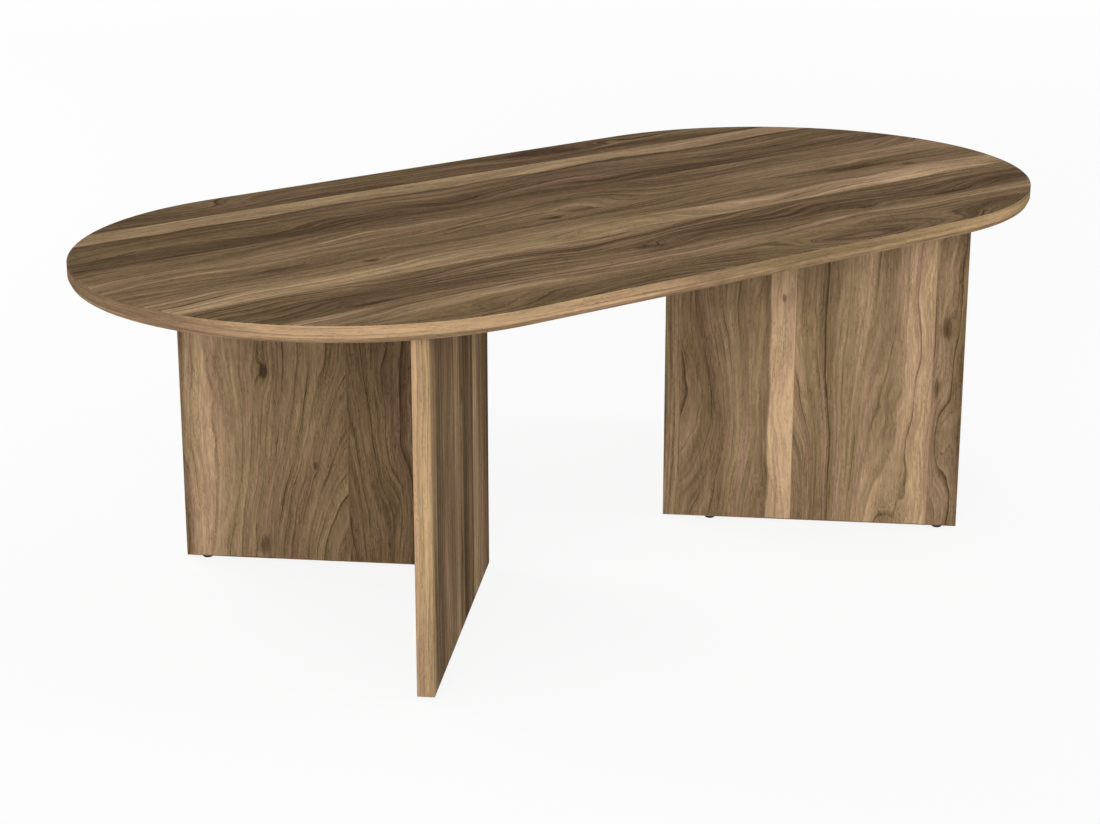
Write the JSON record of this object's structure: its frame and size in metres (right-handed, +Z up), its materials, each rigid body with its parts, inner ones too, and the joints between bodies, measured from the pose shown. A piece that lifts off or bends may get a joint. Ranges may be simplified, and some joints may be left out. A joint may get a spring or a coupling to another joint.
{
  "type": "coffee table",
  "caption": "Low racetrack-shaped table on two L-shaped panel legs, walnut laminate with a light bevelled rim, held together with cam fittings and dowels.",
  "frame": {"origin": "on the floor, under the middle of the top", "axes": "+X along the table's length, +Y across it, +Z up"},
  "size_m": [1.1998, 0.6, 0.397],
  "materials": {
    "walnut_top": "satin walnut laminate, figure along the table",
    "walnut_panel": "satin walnut laminate, figure upright",
    "walnut_backing": "satin walnut backing laminate",
    "walnut_edge": "satin walnut edge band",
    "honey_edge": "satin light brown wood, grain along the edge",
    "core_board": "raw particle board",
    "cam_zinc": "die-cast, dull nickel",
    "bolt_steel": "zinc plated",
    "dowel_beech": "plain beech",
    "glide_plastic": "matte black"
  },
  "bodies": {
    "table": {"top_core": "core_board", "top_lipping": "honey_edge", "top_face_sheet": "walnut_top", "top_backing_sheet": "walnut_backing", "left_short_core": "core_board", "left_short_inner_sheet": "walnut_panel", "left_short_outer_sheet": "walnut_panel", "left_short_end_band": "walnut_edge", "left_short_foot_band": "walnut_edge", "left_long_core": "core_board", "left_long_inner_sheet": "walnut_panel", "left_long_outer_sheet": "walnut_panel", "left_long_end_band": "honey_edge", "left_long_corner_band": "walnut_edge", "left_long_foot_band": "walnut_edge", "right_short_core": "core_board", "right_short_inner_sheet": "walnut_panel", "right_short_outer_sheet": "walnut_panel", "right_short_end_band": "walnut_edge", "right_short_foot_band": "walnut_edge", "right_long_core": "core_board", "right_long_inner_sheet": "walnut_panel", "right_long_outer_sheet": "walnut_panel", "right_long_end_band": "honey_edge", "right_long_corner_band": "walnut_edge", "right_long_foot_band": "walnut_edge", "top_bolts": "bolt_steel", "left_corner_bolts": "bolt_steel", "right_corner_bolts": "bolt_steel", "top_dowels": "dowel_beech", "left_corner_dowels": "dowel_beech", "right_corner_dowels": "dowel_beech", "left_glide_pads": "glide_plastic", "right_glide_pads": "glide_plastic", "left_glide_nails": "bolt_steel", "right_glide_nails": "bolt_steel"},
    "left_short_cam_near": {"left_short_cam_near": "cam_zinc"},
    "left_short_cam_far": {"left_short_cam_far": "cam_zinc"},
    "left_long_cam_near": {"left_long_cam_near": "cam_zinc"},
    "left_long_cam_far": {"left_long_cam_far": "cam_zinc"},
    "left_corner_cam_low": {"left_corner_cam_low": "cam_zinc"},
    "left_corner_cam_high": {"left_corner_cam_high": "cam_zinc"},
    "right_short_cam_near": {"right_short_cam_near": "cam_zinc"},
    "right_short_cam_far": {"right_short_cam_far": "cam_zinc"},
    "right_long_cam_near": {"right_long_cam_near": "cam_zinc"},
    "right_long_cam_far": {"right_long_cam_far": "cam_zinc"},
    "right_corner_cam_low": {"right_corner_cam_low": "cam_zinc"},
    "right_corner_cam_high": {"right_corner_cam_high": "cam_zinc"}
  },
  "joints": [
    {"name": "left_short_cam_near_turn", "type": "hinge", "parent": "table", "child": "left_short_cam_near", "pos_m": [-0.20425, 0.06152, 0.345], "axis": [-0.7071, -0.7071, 0], "range_deg": [0, 180]},
    {"name": "left_short_cam_far_turn", "type": "hinge", "parent": "table", "child": "left_short_cam_far", "pos_m": [-0.34001, 0.19728, 0.345], "axis": [-0.7071, -0.7071, 0], "range_deg": [0, 180]},
    {"name": "left_long_cam_near_turn", "type": "hinge", "parent": "table", "child": "left_long_cam_near", "pos_m": [-0.20425, -0.06152, 0.345], "axis": [-0.7071, 0.7071, 0], "range_deg": [0, 180]},
    {"name": "left_long_cam_far_turn", "type": "hinge", "parent": "table", "child": "left_long_cam_far", "pos_m": [-0.35981, -0.21708, 0.345], "axis": [-0.7071, 0.7071, 0], "range_deg": [0, 180]},
    {"name": "left_corner_cam_low_turn", "type": "hinge", "parent": "table", "child": "left_corner_cam_low", "pos_m": [-0.17313, 0.03041, 0.068], "axis": [-0.7071, -0.7071, 0], "range_deg": [0, 180]},
    {"name": "left_corner_cam_high_turn", "type": "hinge", "parent": "table", "child": "left_corner_cam_high", "pos_m": [-0.17313, 0.03041, 0.315], "axis": [-0.7071, -0.7071, 0], "range_deg": [0, 180]},
    {"name": "right_short_cam_near_turn", "type": "hinge", "parent": "table", "child": "right_short_cam_near", "pos_m": [0.20425, -0.06152, 0.345], "axis": [0.7071, 0.7071, 0], "range_deg": [0, 180]},
    {"name": "right_short_cam_far_turn", "type": "hinge", "parent": "table", "child": "right_short_cam_far", "pos_m": [0.34001, -0.19728, 0.345], "axis": [0.7071, 0.7071, 0], "range_deg": [0, 180]},
    {"name": "right_long_cam_near_turn", "type": "hinge", "parent": "table", "child": "right_long_cam_near", "pos_m": [0.20425, 0.06152, 0.345], "axis": [0.7071, -0.7071, 0], "range_deg": [0, 180]},
    {"name": "right_long_cam_far_turn", "type": "hinge", "parent": "table", "child": "right_long_cam_far", "pos_m": [0.35981, 0.21708, 0.345], "axis": [0.7071, -0.7071, 0], "range_deg": [0, 180]},
    {"name": "right_corner_cam_low_turn", "type": "hinge", "parent": "table", "child": "right_corner_cam_low", "pos_m": [0.17313, -0.03041, 0.068], "axis": [0.7071, 0.7071, 0], "range_deg": [0, 180]},
    {"name": "right_corner_cam_high_turn", "type": "hinge", "parent": "table", "child": "right_corner_cam_high", "pos_m": [0.17313, -0.03041, 0.315], "axis": [0.7071, 0.7071, 0], "range_deg": [0, 180]}
  ]
}
